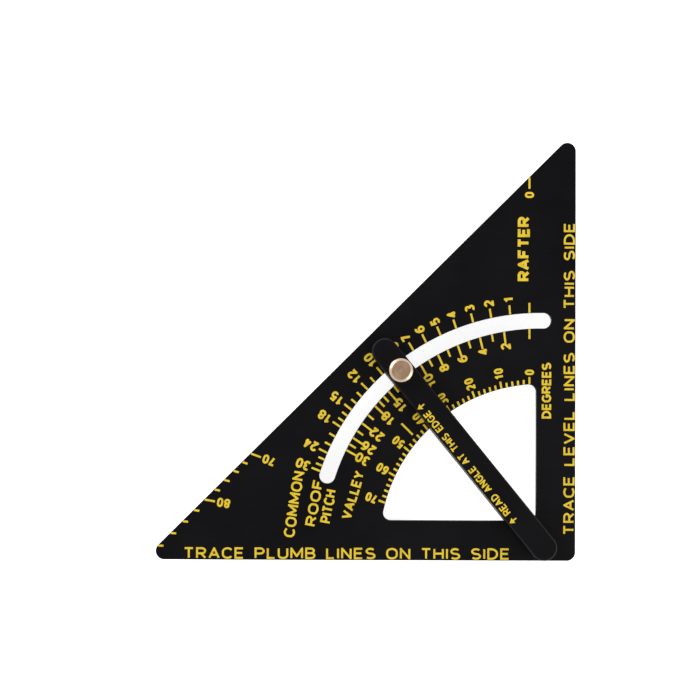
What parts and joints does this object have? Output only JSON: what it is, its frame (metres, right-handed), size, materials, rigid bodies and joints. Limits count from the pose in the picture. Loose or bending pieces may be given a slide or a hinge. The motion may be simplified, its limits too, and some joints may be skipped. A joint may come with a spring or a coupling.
{
  "type": "speed square",
  "caption": "Flat triangular rafter square with an arc slot, a window and a swinging two-bar fence clamped by a thumb nut.",
  "frame": {"origin": "under the middle of the plate's square outline, level with the underside of the lower fence bar", "axes": "+Z out of the marked face, +X out of the seat edge, -Y out of the plumb edge; the right angle is at +X, -Y"},
  "size_m": [0.1714, 0.1714, 0.0295],
  "materials": {
    "plate": "black satin anodised",
    "bars": "black satin anodised",
    "screws": "black oxide",
    "washers": "black nylon",
    "nut": "turned, satin",
    "marks": "yellow printed ink"
  },
  "bodies": {
    "plate": {"square_plate": "plate"},
    "fence": {"upper_arm": "bars", "lower_fence": "bars", "pivot_screw": "screws", "upper_pivot_washer": "washers", "lower_pivot_washer": "washers", "clamp_screw": "screws", "upper_clamp_washer": "washers", "lower_clamp_washer": "washers"},
    "nut_washer": {"captive_washer": "nut"},
    "nut": {"clamp_nut": "nut"}
  },
  "joints": [
    {"name": "arm_swing", "type": "hinge", "parent": "plate", "child": "fence", "pos_m": [0.07185, -0.07955, 0], "axis": [0, 0, 1], "range_deg": [-40.2, 33.5]},
    {"name": "nut_lift", "type": "slide", "parent": "fence", "child": "nut_washer", "axis": [0, 0, 1], "range_m": [0, 0.00159]},
    {"name": "nut_turn", "type": "hinge", "parent": "nut_washer", "child": "nut", "pos_m": [0.01364, -0.00818, 0.024], "axis": [0, 0, 1], "range_deg": [0, 720]}
  ],
  "couplings": [
    {"joint": "nut_turn", "follows": "nut_lift", "rad_per_m": 7915.8}
  ]
}
